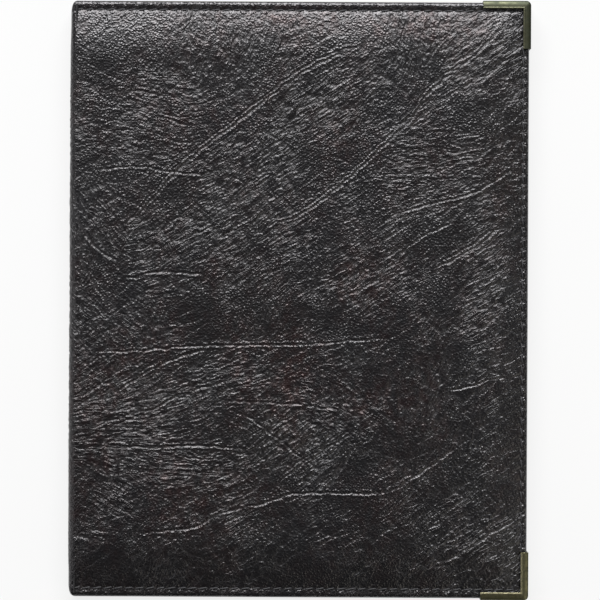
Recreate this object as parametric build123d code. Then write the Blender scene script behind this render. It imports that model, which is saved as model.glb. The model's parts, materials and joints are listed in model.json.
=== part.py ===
"""A padded A4 menu cover with four brass corners and two clear inner sleeves.

The cover lies closed on its back. +X runs from the spine to the fore-edge, +Y to the head and +Z up
to the front cover. The origin is under the middle of the whole thing, on the surface it lies on.
All sizes are in millimetres.
"""

import os
from math import asin, degrees, pi, sqrt

from build123d import *

# The printed sheet that the pockets and sleeves hold, and the cover's margins round it
sheet_width = 210.0
sheet_height = 297.0
sheet_slack = 2.0
spine_margin = 24.0
fore_margin = 10.0
end_margin = 10.0

# The layers of one padded cover, from the outside in
leather_t = 0.9
foam_t = 2.2
foam_squeezed_t = 0.4
board_t = 2.0
turn_in_t = 0.5
lining_t = 0.6
pocket_film_t = 0.3
pocket_tape_t = 0.3

# The padded face: a flat border with a sewn groove, then a crown that swells to the flat middle
stitch_inset = 4.7
groove_w = 1.0
groove_t = 0.35
crown_past_stitch = 0.9
crown_past_brass = 0.7
crown_run = 24.0
crown_corner_r = 5.0
crown_steps = [0, 0.02, 0.08, 0.2, 0.4, 0.7, 1]

# Edges and turned-in leather
edge_round_outer = 1.6
edge_round_inner = 0.4
fore_corner_r = 2.0
lining_inset = 1.2
pocket_inset = 2.0

# The spine
spine_roll_r = 4.0
spine_corner_r = 4.3
fold_gap = 0.4
spine_board_t = 1.2
spine_lining_t = 0.5
foam_start_gap = 0.5
board_start_gap = 1.6

# The pocket inside each cover
pocket_mouth_margin = 6.0
pocket_tape_width = 5.0
tape_end_gap = 0.3

# The two clear sleeves and the folded tape that hinges them to the spine
sleeve_film_t = 0.2
sleeve_tape_t = 0.25
sleeve_tape_width = 4.0
sheet_gap = 0.3
leaf_gap = 0.3
middle_gap = 0.4
crease_reach = 12.0
crease_gap = 0.6
hinge_tape_t = 0.5
hinge_tape_short = 4.0
thumb_notch_r = 10.0
sleeve_rest_gap = 0.35

# The brass corners
brass_t = 0.8
brass_fit = 0.1
brass_leg = 25.5
brass_face_width = 4.2
brass_nose_r = 2.5
brass_edge_r = 1.2
brass_bead_h = 0.25
brass_bead_w = 0.7

# Levels above the back cover's outer face
border_drop = foam_t - foam_squeezed_t
board_z = leather_t + foam_t
inside_z = board_z + board_t
turn_in_z = inside_z + turn_in_t
lining_z = turn_in_z + lining_t
pocket_z = lining_z + pocket_film_t
tape_z = pocket_z + pocket_tape_t
sleeve_z = tape_z + leaf_gap
sleeve_t = 2 * (sleeve_tape_t + sleeve_film_t) + sheet_gap
closed_height = 2 * (sleeve_z + sleeve_t) + middle_gap

# Places in plan
cover_width = spine_margin + sheet_width + fore_margin
cover_height = sheet_height + 2 * end_margin
brass_proud = brass_t + brass_fit
border_ends = stitch_inset + crown_past_stitch
border_fore = brass_face_width - brass_proud + crown_past_brass
turn_in_width = end_margin - sheet_slack / 2 - lining_t
spine_x = -(cover_width + brass_proud) / 2
fore_x = spine_x + cover_width
half_height = cover_height / 2
cover_start = spine_x + spine_roll_r + fold_gap
pocket_mouth_x = spine_x + spine_margin - pocket_mouth_margin
crease_x = spine_x + crease_reach
sleeve_start = crease_x + crease_gap
sleeve_width = sheet_width + sheet_slack + 2 * sleeve_tape_width
sleeve_height = sheet_height + sheet_slack + sleeve_tape_width

# Hinge lines: each is set in from both outer faces so that the leather keeps its length when it opens
hinge_inset = (1 - pi / 4) * spine_roll_r
open_crease_to_free = crease_reach - (pocket_z + sleeve_rest_gap + sleeve_t / 2)
sleeve_lean = degrees(asin(open_crease_to_free / (crease_gap + sleeve_width)))

middle_plane = Plane.XY.offset(closed_height / 2)


def crown_depth(step):
    """How far the crown lies below the flat middle, a quarter of an ellipse from border to middle."""
    return border_drop * (1 - sqrt(1 - (1 - step) ** 2))


def plan_box(x0, x1, y0, y1, z0, z1):
    """A block between two x, two y and two z values."""
    plan = Pos((x0 + x1) / 2, (y0 + y1) / 2, z0) * Rectangle(x1 - x0, y1 - y0)
    return extrude(plan, z1 - z0)


def cover_outline(x_start, inset_ends, inset_fore, corner_r):
    """The plan of a cover, square at the spine and rounded at the two corners of the fore-edge."""
    width = fore_x - inset_fore - x_start
    face = Pos(x_start + width / 2, 0) * Rectangle(width, cover_height - 2 * inset_ends)
    return fillet(face.vertices().sort_by(Axis.X)[-2:], corner_r)


def crown(x_start, skin):
    """The swell of the padded face, a stack of rounded outlines that shrink towards the middle."""
    outlines = []
    for step in crown_steps:
        outline = cover_outline(
            x_start,
            border_ends + step * crown_run,
            border_fore + step * crown_run,
            crown_corner_r + step * crown_run / 2,
        )
        outlines.append(Pos(0, 0, crown_depth(step) + skin) * outline)
    return loft(outlines, ruled=True)


def padded_block(x_start, inset, corner_r, skin, top):
    """A cover's solid form inside a skin of the given thickness, up to the level top."""
    outline = cover_outline(x_start, inset, inset, corner_r)
    low = border_drop + skin
    slab = extrude(Pos(0, 0, low) * outline, top - low)
    return slab, crown(x_start, skin)


def rim_edges(block, level):
    """The edges of a slab at one level, without the one at the spine."""
    near = block.edges().filter_by_position(Axis.Z, level - 0.01, level + 0.01)
    return near.filter_by(lambda edge: edge.center().X > cover_start + 1)


def sewn_groove():
    """The groove that the stitches pull into the border, round the head, fore-edge and tail."""
    ends = stitch_inset - groove_w / 2
    fore = border_fore - crown_past_stitch - groove_w / 2
    outer = cover_outline(cover_start, ends, fore, crown_corner_r)
    inner = cover_outline(cover_start, ends + groove_w, fore + groove_w, crown_corner_r - groove_w)
    return extrude(Pos(0, 0, border_drop) * (outer - inner), groove_t)


def make_leather():
    """One cover's leather: crowned outside, rolled over the board's edges and turned in."""
    slab, swell = padded_block(cover_start, 0, fore_corner_r, 0, turn_in_z)
    slab = fillet(rim_edges(slab, border_drop), edge_round_outer)
    slab = fillet(rim_edges(slab, turn_in_z), edge_round_inner)
    core_r = fore_corner_r - leather_t
    core, core_swell = padded_block(cover_start - 1, leather_t, core_r, leather_t, inside_z)
    window = cover_outline(cover_start - 1, turn_in_width, turn_in_width, fore_corner_r)
    opening = extrude(Pos(0, 0, inside_z) * window, turn_in_t)
    return slab + swell - core - core_swell - opening - sewn_groove()


def make_foam():
    """The soft pad between leather and board, squeezed thin along the sewn border."""
    start = cover_start + foam_start_gap
    slab, swell = padded_block(start, leather_t, fore_corner_r - leather_t, leather_t, board_z)
    return slab + swell


def make_board():
    """The stiff board that carries one cover."""
    start = cover_start + board_start_gap
    outline = cover_outline(start, leather_t, leather_t, fore_corner_r - leather_t)
    return extrude(Pos(0, 0, board_z) * outline, board_t)


def make_lining():
    """The inside lining, glued to the board and lapping the turned-in leather."""
    start = cover_start + foam_start_gap
    middle = cover_outline(start, turn_in_width, turn_in_width, fore_corner_r)
    whole = cover_outline(start, lining_inset, lining_inset, fore_corner_r)
    well = cover_outline(
        start, turn_in_width + lining_t, turn_in_width + lining_t, fore_corner_r
    )
    sheet = extrude(Pos(0, 0, inside_z) * middle, lining_t)
    sheet += extrude(Pos(0, 0, turn_in_z) * whole, lining_t)
    return sheet - extrude(Pos(0, 0, inside_z + lining_t) * well, lining_z - inside_z)


def make_pocket():
    """The clear pocket film, sewn to the lapped border on three sides and open at the spine."""
    outline = cover_outline(pocket_mouth_x, pocket_inset, pocket_inset, fore_corner_r)
    return extrude(Pos(0, 0, lining_z) * outline, pocket_film_t)


def make_pocket_tape():
    """The tape folded over the pocket's open edge."""
    outer = pocket_mouth_x - pocket_tape_t
    inner = pocket_mouth_x + pocket_tape_width
    long_half = half_height - pocket_inset
    short_half = half_height - turn_in_width - lining_t - tape_end_gap
    upper = plan_box(outer, inner, -long_half, long_half, pocket_z, tape_z)
    low = lining_z - pocket_tape_t
    front = plan_box(outer, pocket_mouth_x, -short_half, short_half, low, tape_z)
    lower = plan_box(outer, inner, -short_half, short_half, low, lining_z)
    return upper + front + lower


def corner_plan(inset, past, nose_r):
    """An L in plan for a brass corner, drawn in from the outer edges and let past the legs' ends."""
    tip_x = fore_x + brass_proud - inset
    tip_y = half_height + brass_proud - inset
    side = brass_leg - inset + past
    notch = brass_leg - brass_face_width
    whole = Pos(tip_x - side / 2, tip_y - side / 2) * Rectangle(side, side)
    tip = whole.vertices().sort_by(lambda point: point.X + point.Y)[-1:]
    whole = fillet(tip, nose_r)
    if past:
        return whole
    return whole - Pos(tip_x - side + notch / 2, tip_y - side + notch / 2) * Rectangle(notch, notch)


def make_bead():
    """The raised bead along the inner edge of the leg that runs down the fore-edge."""
    inner_x = fore_x + brass_proud - brass_face_width
    inner_y = half_height + brass_proud - brass_face_width
    end_y = half_height + brass_proud - brass_leg
    face_z = border_drop - brass_t
    top_z = face_z - brass_bead_h
    slope = brass_bead_w / 4
    outline = Polyline(
        (inner_x, face_z + brass_bead_h),
        (inner_x, top_z),
        (inner_x + brass_bead_w - 2 * slope, top_z),
        (inner_x + brass_bead_w, face_z + brass_bead_h),
        close=True,
    )
    rod = extrude(Plane.XZ * make_face(outline), -(inner_y + brass_bead_w - end_y))
    return Pos(0, end_y, 0) * rod


def make_corner():
    """A folded brass corner at the head: two channels that meet in a mitre, with a rounded nose."""
    face_z = border_drop - brass_t
    back_z = pocket_z + brass_t
    tip_x = fore_x + brass_proud
    tip_y = half_height + brass_proud
    shell = extrude(Pos(0, 0, face_z) * corner_plan(0, 0, brass_nose_r), back_z - face_z)
    flat = shell.edges().filter_by(lambda edge: abs(edge.tangent_at(0.5).Z) < 0.01)
    rims = flat.filter_by(
        lambda edge: edge.center().X > tip_x - brass_nose_r or edge.center().Y > tip_y - brass_nose_r
    ).filter_by(lambda edge: edge.length > brass_face_width + 0.01 or edge.geom_type == GeomType.CIRCLE)
    shell = fillet(rims, brass_edge_r)
    hollow = corner_plan(brass_t, brass_leg, brass_nose_r - brass_t)
    shell -= extrude(Pos(0, 0, border_drop) * hollow, pocket_z - border_drop)
    mitre = Plane((tip_x, tip_y, 0), x_dir=(1, 1, 0), z_dir=(1, -1, 0))
    bead = make_bead()
    return shell + bead + mirror(bead, about=mitre)


def crown_side_points(skin, end):
    """The crown from the head's end to the middle, as (y, z) points of one half profile."""
    points = [(end, border_drop + skin)]
    for step in crown_steps:
        inset = border_ends + step * crown_run
        points.append((half_height - inset, crown_depth(step) + skin))
    return points


def crown_prism(skin, end):
    """A bar along X whose section is the closed cover seen from the spine, crowned at both ends."""
    head_low = crown_side_points(skin, end)
    tail_low = [(-y, z) for y, z in reversed(head_low)]
    low = head_low + tail_low
    high = [(y, closed_height - z) for y, z in reversed(low)]
    profile = make_face(Polyline(*low, *high, close=True))
    return extrude(Plane.YZ.offset(spine_x - 1) * profile, spine_roll_r + 3)


def spine_section(skin, reach):
    """The spine's section in X and Z: a bar with two rolled corners at the outer side."""
    height = closed_height - 2 * skin
    face = Pos(spine_x + skin + reach / 2, closed_height / 2) * Rectangle(reach, height)
    return fillet(face.vertices().sort_by(Axis.X)[:2], spine_roll_r - skin)


def make_spine_leather():
    """The leather round the spine, rolled over both long edges and over the board's two ends."""
    body = extrude(Plane.XZ * spine_section(0, spine_roll_r), half_height, both=True)
    body &= crown_prism(0, half_height)
    plan = Pos(spine_x + cover_width / 2, 0) * Rectangle(cover_width, cover_height)
    plan = fillet(plan.vertices().sort_by(Axis.X)[:2], spine_corner_r)
    body &= extrude(plan, closed_height)
    hollow = extrude(Plane.XZ * spine_section(leather_t, spine_roll_r), half_height + 1, both=True)
    hollow &= crown_prism(leather_t, half_height + 1)
    lip_x = spine_x + leather_t + spine_board_t
    lips = []
    for side in (-1, 1):
        y0, y1 = sorted((side * (half_height - leather_t), side * (half_height + 2)))
        lips.append(plan_box(spine_x - 1, lip_x, y0, y1, -1, closed_height + 1))
    return body - (hollow - lips[0] - lips[1])


def make_spine_board():
    """The narrow stiffener behind the flat of the spine."""
    x0 = spine_x + leather_t
    end = half_height - spine_corner_r
    return plan_box(x0, x0 + spine_board_t, -end, end, spine_roll_r, closed_height - spine_roll_r)


def make_spine_lining():
    """The strip of lining over the spine's stiffener."""
    x0 = spine_x + leather_t + spine_board_t
    end = half_height - lining_inset
    side = spine_roll_r - spine_lining_t
    return plan_box(x0, x0 + spine_lining_t, -end, end, side, closed_height - side)


def make_hinge_tape():
    """The tape folded into a channel: its back is glued to the spine, each flange holds a sleeve."""
    x0 = spine_x + leather_t + spine_board_t + spine_lining_t
    x1 = crease_x - crease_gap
    end = sleeve_height / 2 - hinge_tape_short
    low = sleeve_z + sleeve_t / 2 - hinge_tape_t / 2
    high = closed_height - low
    block = plan_box(x0, x1, -end, end, low, high)
    fold = plan_box(x0 + hinge_tape_t, x1, -end, end, low + hinge_tape_t, high - hinge_tape_t)
    return block - fold


def sleeve_box(inset, z0, z1, open_top=0.0):
    """A block over the lower sleeve's plan, drawn in on all sides, its head side moved by open_top."""
    y_head = sleeve_height / 2 - inset + open_top
    return plan_box(
        sleeve_start + inset,
        sleeve_start + sleeve_width - inset,
        -sleeve_height / 2 + inset,
        y_head,
        z0,
        z1,
    )


def make_sleeve_film(z0, notched):
    """One clear sheet of a sleeve. The notched one has the thumb cut-out at its open head."""
    film = sleeve_box(sleeve_tape_t, z0, z0 + sleeve_film_t, sleeve_tape_t)
    if notched:
        middle = sleeve_start + sleeve_width / 2
        film -= Pos(middle, sleeve_height / 2, z0) * Cylinder(thumb_notch_r, 4 * sleeve_film_t)
    return film


def make_sleeve_binding():
    """The tape folded over both films along the spine side, the tail and the fore-edge side."""
    block = sleeve_box(0, sleeve_z, sleeve_z + sleeve_t)
    past = sleeve_tape_width * 2
    window = sleeve_box(sleeve_tape_width, sleeve_z, sleeve_z + sleeve_t, past)
    slot_z = sleeve_z + sleeve_tape_t
    slot = sleeve_box(sleeve_tape_t, slot_z, slot_z + sleeve_t - 2 * sleeve_tape_t, past)
    return block - window - slot


def save(shape, name):
    """Write one node."""
    export_step(shape, f"parts/{name}.step")
    print(f"{name}: {len(shape.solids())} solid, {shape.volume:.0f} mm3")


def main():
    os.makedirs("parts", exist_ok=True)

    cover = {
        "leather": make_leather(),
        "foam": make_foam(),
        "board": make_board(),
        "lining": make_lining(),
        "pocket": make_pocket(),
        "pocket_tape": make_pocket_tape(),
    }
    for name, shape in cover.items():
        save(shape, f"back_{name}")
        save(mirror(shape, about=middle_plane), f"front_{name}")

    corner = make_corner()
    turn_over = Axis((0, 0, closed_height / 2), (1, 0, 0))
    save(corner, "back_corner_top")
    save(mirror(corner, about=Plane.XZ), "back_corner_bottom")
    save(mirror(corner, about=middle_plane), "front_corner_top")
    save(corner.rotate(turn_over, 180), "front_corner_bottom")

    save(make_spine_leather(), "spine_leather")
    save(make_spine_board(), "spine_board")
    save(make_spine_lining(), "spine_lining")
    save(make_hinge_tape(), "sleeve_hinge_tape")

    film_z = sleeve_z + sleeve_tape_t
    sleeve = {
        "outer_film": make_sleeve_film(film_z, False),
        "inner_film": make_sleeve_film(film_z + sleeve_film_t + sheet_gap, True),
        "binding": make_sleeve_binding(),
    }
    for name, shape in sleeve.items():
        save(shape, f"lower_sleeve_{name}")
        save(mirror(shape, about=middle_plane), f"upper_sleeve_{name}")

    crease_z = sleeve_z + sleeve_t / 2
    print(f"closed height {closed_height:.3f}")
    print(f"spine fold axis x {spine_x + hinge_inset:.3f} z {hinge_inset:.3f}")
    print(f"cover axis x {spine_x + hinge_inset:.3f} z {closed_height - hinge_inset:.3f}")
    print(f"lower crease x {crease_x:.3f} z {crease_z:.3f}, upper z {closed_height - crease_z:.3f}")
    print(f"sleeve turns {90 + sleeve_lean:.3f} degrees for 90, ratio {1 + sleeve_lean / 90:.5f}")


main()
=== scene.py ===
# %% [markdown]
# # A padded leather menu cover
# This lesson builds the looks of a padded A4 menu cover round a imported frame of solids. The frame
# holds the real sizes, the hinges and the hidden layers. Here we make what the eye meets: grained
# leather over soft foam, sewn borders, worn brass corners, clear pockets and sleeves.
# Everything is in metres. +X runs from the spine to the fore-edge, +Y to the head, +Z up.

# %% Load the frame
import json
import math

import bmesh
import bpy
import numpy as np
from mathutils import Matrix, Vector


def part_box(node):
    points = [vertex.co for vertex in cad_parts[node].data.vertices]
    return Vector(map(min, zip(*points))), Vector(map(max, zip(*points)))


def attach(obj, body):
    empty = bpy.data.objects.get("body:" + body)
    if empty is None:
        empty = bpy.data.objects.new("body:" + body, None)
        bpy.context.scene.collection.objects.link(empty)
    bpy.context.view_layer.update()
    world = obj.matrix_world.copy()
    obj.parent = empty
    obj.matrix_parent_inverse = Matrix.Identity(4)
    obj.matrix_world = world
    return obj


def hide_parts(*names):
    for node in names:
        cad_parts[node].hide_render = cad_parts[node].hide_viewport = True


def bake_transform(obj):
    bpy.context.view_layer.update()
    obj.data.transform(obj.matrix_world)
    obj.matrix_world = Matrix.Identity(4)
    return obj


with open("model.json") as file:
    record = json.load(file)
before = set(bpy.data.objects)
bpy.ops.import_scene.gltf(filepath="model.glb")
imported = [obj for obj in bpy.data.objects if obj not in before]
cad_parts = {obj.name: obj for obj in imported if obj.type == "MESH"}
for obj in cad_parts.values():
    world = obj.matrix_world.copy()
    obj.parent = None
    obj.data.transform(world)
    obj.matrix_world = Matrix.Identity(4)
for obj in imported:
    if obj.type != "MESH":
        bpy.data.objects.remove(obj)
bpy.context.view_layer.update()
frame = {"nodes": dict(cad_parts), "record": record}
scene = bpy.context.scene

# %% [markdown]
# ## Sizes
# The frame gives the places of all solids, so sizes are read from it where that is possible. A few
# more are chosen here: how the edges are rolled and turned in, where the border is sewn, and how
# far the soft swell of the face runs before it is flat.

# %% Sizes read from the frame, and chosen sizes
MM = 0.001
leather_low, leather_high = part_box("front_leather")
SPINE_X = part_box("spine_leather")[0].x
FORE_X = leather_high.x
HALF_H = leather_high.y
TOP_Z = leather_high.z
MIDDLE_Z = TOP_Z / 2
LEATHER_DEPTH = leather_high.z - leather_low.z
ROLL_R = 4.0 * MM
COVER_X = SPINE_X + ROLL_R
EDGE_R = 2.0 * MM
INNER_R = 0.5 * MM
TURN_IN = 8.4 * MM
SPINE_DEPTH = 2.1 * MM
SPINE_CORNER_R = 4.3 * MM
BORDER_DROP = 1.8 * MM
CROWN_RUN = 24 * MM
STITCH_ENDS = 4.7 * MM
STITCH_FORE = 3.1 * MM
CROWN_PAST_STITCH = 0.9 * MM
STITCH_PITCH = 5.65 * MM
print(f"leather {FORE_X - SPINE_X:.4f} by {2 * HALF_H:.4f}, closed height {TOP_Z:.4f}")


def add_object(name, data):
    """A new object at the origin, in the scene."""
    thing = bpy.data.objects.new(name, data)
    scene.collection.objects.link(thing)
    return thing


# %% [markdown]
# ## Noise
# Leather is never even. All unevenness of the form comes from one small tool: smooth noise on a
# grid, with a fixed seed, so that each run gives the same hide. A grid point's random slope is
# looked up in a shuffled table, and the four slopes round a point are blended.

# %% Smooth noise with a fixed seed
TABLE_SIZE = 256


def make_noise(seed):
    """A smooth noise function of x and y, about -1 to 1, one swing to a unit of length."""
    table = np.random.default_rng(seed)
    shuffled = table.permutation(TABLE_SIZE)
    turns = table.random(TABLE_SIZE) * 2 * math.pi
    slope_x, slope_y = np.cos(turns), np.sin(turns)

    def noise(x, y):
        x0, y0 = np.floor(x).astype(int), np.floor(y).astype(int)
        fx, fy = x - x0, y - y0
        ease_x = fx * fx * fx * (fx * (fx * 6 - 15) + 10)
        ease_y = fy * fy * fy * (fy * (fy * 6 - 15) + 10)

        def corner(i, j):
            pick = shuffled[(shuffled[(x0 + i) % TABLE_SIZE] + y0 + j) % TABLE_SIZE]
            return slope_x[pick] * (fx - i) + slope_y[pick] * (fy - j)

        near = corner(0, 0) * (1 - ease_x) + corner(1, 0) * ease_x
        far = corner(0, 1) * (1 - ease_x) + corner(1, 1) * ease_x
        return 1.5 * (near * (1 - ease_y) + far * ease_y)

    return noise


def noise_at(seed, x, y, swing_x, swing_y=None):
    """Smooth noise whose swings have the given lengths along x and y."""
    return make_noise(seed)(x / swing_x, y / (swing_y or swing_x))


def ease(t):
    """A smooth step from 0 to 1."""
    t = np.clip(t, 0, 1)
    return t * t * (3 - 2 * t)


# %% [markdown]
# ## The hide
# The face of this cover is a wrinkled, grained leatherette. Three things give it its look: long
# creases that run right across it, patches of fine parallel wrinkles where the hide was drawn, and
# a pebble grain everywhere. The creases and patches are placed one by one, as a maker would lay out
# a hide. The wrinkles between them follow a field of directions, so each flows with its neighbours
# and bends where they bend. Points are in millimetres from the middle of the cover's face.

# %% Long creases
# A crease: its points, half its width, its depth, and whether it is a double line.
CREASES = {
    "long_diagonal": ([(-96, 32), (-62, 71), (-32, 95), (0, 120), (27, 133)], 0.60, 0.28, True),
    "great_diagonal": (
        [(-16, 40), (0, 45), (21, 60), (41, 79), (60, 97), (68, 110), (92, 130), (113, 151)],
        0.60, 0.28, True,
    ),
    "right_rise": ([(49, 45), (72, 52), (92, 57), (118, 73)], 0.55, 0.25, False),
    "right_rise_low": ([(71, 16), (95, 29), (106, 40)], 0.60, 0.25, True),
    "middle_level": (
        [(-115, -28), (-91, -28), (-53, -25), (0, -24), (24, -22), (54, -20)], 0.55, 0.25, False,
    ),
    "left_level": ([(-99, -79), (-78, -79), (-53, -78), (-27, -80)], 0.60, 0.31, False),
    "low_sweep": (
        [(-96, -125), (-58, -122), (-42, -114), (-17, -108), (0, -103), (45, -102), (64, -92),
         (95, -70)],
        0.60, 0.28, False,
    ),
    "middle_short": ([(-40, -54), (0, -56), (22, -59)], 0.55, 0.23, False),
    "right_short": ([(74, -49), (90, -46), (102, -42), (118, -40)], 0.55, 0.25, False),
    "foot_right": ([(71, -141), (85, -135), (102, -124), (116, -117)], 0.60, 0.28, False),
    "spine_curve": ([(-121, 62), (-117, 40), (-107, 26), (-94, 18)], 0.60, 0.28, False),
    "spine_curve_low": ([(-120, 30), (-112, 12), (-100, -6)], 0.60, 0.25, False),
    "head_left": ([(-110, 68), (-85, 70), (-66, 67), (-50, 66)], 0.55, 0.23, False),
    "level_left": ([(-95, 10), (-75, 14), (-50, 13)], 0.60, 0.25, False),
    "right_fall": ([(20, 0), (40, 10), (60, 30), (82, 42)], 0.55, 0.23, False),
    "fan_upper": ([(-101, -52), (-75, -36), (-50, -26)], 0.55, 0.31, False),
    "fan_lower": ([(-100, -68), (-80, -60), (-60, -50), (-35, -43)], 0.55, 0.25, False),
    "cross_down": ([(-30, -60), (-10, -75), (12, -92)], 0.55, 0.25, False),
    "cross_up": ([(-12, -98), (10, -82), (30, -70)], 0.55, 0.25, True),
}
print(len(CREASES), "creases")

# %% Wrinkled patches and warm spots
# A patch of fine parallel wrinkles: centre, half sizes, direction in degrees, strength.
PATCHES = [
    ((-26, 60), (32, 26), 36, 1.0),
    ((12, 105), (30, 22), 36, 0.8),
    ((100, 133), (30, 26), 30, 1.0),
    ((-109, 36), (16, 26), -62, 1.0),
    ((-92, -46), (34, 18), 32, 0.9),
    ((-102, -14), (24, 20), -52, 0.9),
    ((-96, -66), (30, 14), 6, 1.0),
    ((-2, -76), (30, 20), 42, 1.0),
    ((20, -60), (24, 18), -44, 0.9),
    ((64, 136), (20, 22), 88, 0.9),
    ((-48, 140), (36, 18), 80, 0.9),
    ((72, 72), (26, 20), 4, 0.7),
    ((70, -54), (20, 40), 84, 0.6),
    ((92, -130), (30, 22), 34, 0.9),
    ((-64, -86), (34, 14), -8, 0.8),
    ((-30, -42), (28, 14), 12, 0.8),
    ((-85, 100), (30, 20), -20, 0.6),
    ((-100, -100), (20, 20), -35, 0.7),
    ((-60, 30), (30, 20), 24, 0.7),
    ((30, 20), (30, 24), 30, 0.6),
    ((-40, -115), (30, 20), 28, 0.6),
    ((100, 10), (20, 30), 34, 0.7),
]
# A red-brown spot where the top coat is thin: centre, half sizes, strength.
WARM_SPOTS = [
    ((-5, -39), (11, 30), 1.0),
    ((-31, -39), (9, 30), 0.6),
    ((-46, 16), (8, 9), 0.7),
    ((-88, -36), (30, 30), 0.45),
    ((-56, -107), (35, 25), 0.5),
    ((-110, -90), (12, 40), 0.4),
    ((33, 7), (18, 22), 0.5),
    ((38, -109), (12, 12), 0.5),
    ((33, -54), (18, 15), 0.5),
    ((61, -61), (20, 30), 0.35),
    ((22, 89), (12, 14), 0.5),
    ((72, 71), (16, 10), 0.4),
    ((-63, 89), (30, 25), 0.3),
    ((65, 146), (30, 8), 0.6),
    ((-6, 148), (30, 8), 0.6),
    ((104, 49), (7, 12), 0.5),
]
print(len(PATCHES), "wrinkled patches and", len(WARM_SPOTS), "warm spots")


def bump_weight(x, y, centre, half, force):
    """A soft round hill over a listed spot."""
    off_x, off_y = (x / MM - centre[0]) / half[0], (y / MM - centre[1]) / half[1]
    return force * np.exp(-(off_x**2) - off_y**2)


# %% Lines that follow a field of directions
SMEAR_STEPS = 10
LONG_TURN = math.radians(37)
CROSS_TURN = math.radians(72)
# How far the directions drift between the patches, how firmly they hold there and in a patch.
DRIFT_SIZE = 45 * MM
DRIFT_TURN = 1.3
DRIFT_HOLD = 0.3
PATCH_HOLD = 3
# How strongly the hide is wrinkled between the patches and in one, and the most it can be.
LOOSE_SIZE = 22 * MM
LOOSE_STRENGTH = 0.55
PATCH_STRENGTH = 0.8
FULL_STRENGTH = 1.3
# A broken groove's pieces are this many times as long as it is wide.
BROKEN_SIZE = 2.5


def directions(x, y, seed):
    """The way the hide is drawn at each point, as an angle, and how strongly it is wrinkled."""
    turn = LONG_TURN + DRIFT_TURN * noise_at(seed, x, y, DRIFT_SIZE)
    along_x, along_y = DRIFT_HOLD * np.cos(2 * turn), DRIFT_HOLD * np.sin(2 * turn)
    strength = LOOSE_STRENGTH * ease(0.45 + noise_at(seed + 1, x, y, LOOSE_SIZE))
    for centre, half, degrees, force in PATCHES:
        weight = bump_weight(x, y, centre, half, force)
        along_x += PATCH_HOLD * weight * math.cos(2 * math.radians(degrees))
        along_y += PATCH_HOLD * weight * math.sin(2 * math.radians(degrees))
        strength += PATCH_STRENGTH * weight
    return np.arctan2(along_y, along_x) / 2, np.clip(strength, 0, FULL_STRENGTH)


def lines(x, y, angle, width, reach, sharp, seed):
    """Thin broken grooves that run along the directions, and the folds between them.

    Noise of one width is smeared along the directions, and a groove lies where it crosses zero."""
    noise = make_noise(seed)
    run_x, run_y = np.cos(angle) * reach / SMEAR_STEPS, np.sin(angle) * reach / SMEAR_STEPS
    flow = np.zeros_like(x)
    for step in range(-SMEAR_STEPS, SMEAR_STEPS + 1):
        flow += noise((x + step * run_x) / width, (y + step * run_y) / width)
    flow /= math.sqrt(2 * SMEAR_STEPS + 1)
    broken = ease(0.5 + 1.6 * noise_at(seed + 50, x, y, BROKEN_SIZE * width))
    return np.exp(-((flow / sharp) ** 2)) * broken, flow


# %% A long crease
CURVE_SAMPLES = 8
# A crease wanders sideways, fades at its ends, changes its depth and is beaded along its length.
WANDER, WANDER_SIZE = 0.7 * MM, 6 * MM
END_FADE = 0.12
UNEVEN, UNEVEN_SIZE = 0.35, 12 * MM
BEADING, BEAD_SIZE = 0.55, 1.7 * MM
# A crease's lips, its second line and that line's lip: size, and place in half widths.
LIP, SECOND, SECOND_LIP = (0.55, 1.9), (0.7, 3.4), (0.4, 5)


def smooth_line(points):
    """A smooth curve through given points."""
    ends = [2 * np.array(points[0]) - points[1], *map(np.array, points)]
    ends.append(2 * ends[-1] - ends[-2])
    line = []
    for p0, p1, p2, p3 in zip(ends, ends[1:], ends[2:], ends[3:]):
        for t in np.arange(CURVE_SAMPLES) / CURVE_SAMPLES:
            a = 2 * p1 + (p2 - p0) * t
            b = (2 * p0 - 5 * p1 + 4 * p2 - p3) * t * t
            c = (3 * p1 - p0 - 3 * p2 + p3) * t**3
            line.append((a + b + c) / 2)
    line.append(ends[-2])
    return np.array(line)


def crease_depth(x, y, points, width, depth, double, wander):
    """How deep one crease cuts, with a raised lip on each side and a fading end."""
    line = smooth_line(points) * MM
    share = np.linspace(0, 1, len(line))
    reach = 6 * width
    near = (x > line[:, 0].min() - reach) & (x < line[:, 0].max() + reach)
    near &= (y > line[:, 1].min() - reach) & (y < line[:, 1].max() + reach)
    px, py = x[near], y[near]
    best = np.full(px.shape, 1.0)
    at = np.zeros(px.shape)
    for (ax, ay), (bx, by), sa, sb in zip(line[:-1], line[1:], share[:-1], share[1:]):
        length = math.hypot(bx - ax, by - ay)
        ux, uy = (bx - ax) / length, (by - ay) / length
        t = np.clip((px - ax) * ux + (py - ay) * uy, 0, length)
        gap = np.hypot(px - ax - t * ux, py - ay - t * uy)
        side = np.where((px - ax) * -uy + (py - ay) * ux < 0, -1, 1)
        closer = gap < np.abs(best)
        best = np.where(closer, gap * side, best)
        at = np.where(closer, sa + (sb - sa) * t / length, at)
    across = (best + WANDER * wander(px / WANDER_SIZE, py / WANDER_SIZE)) / width
    groove = np.exp(-(across**2)) - LIP[0] * np.exp(-((np.abs(across) - LIP[1]) ** 2))
    if double:
        groove += SECOND[0] * np.exp(-((across - SECOND[1]) ** 2))
        groove -= SECOND_LIP[0] * np.exp(-((across - SECOND_LIP[1]) ** 2))
    fade = ease(at / END_FADE) * ease((1 - at) / END_FADE)
    fade *= 0.85 + UNEVEN * wander(px / UNEVEN_SIZE, py / UNEVEN_SIZE)
    fade *= 1 + BEADING * wander(px / BEAD_SIZE + 7, py / BEAD_SIZE)
    out = np.zeros_like(x)
    out[near] = depth * groove * fade
    return out


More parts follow.
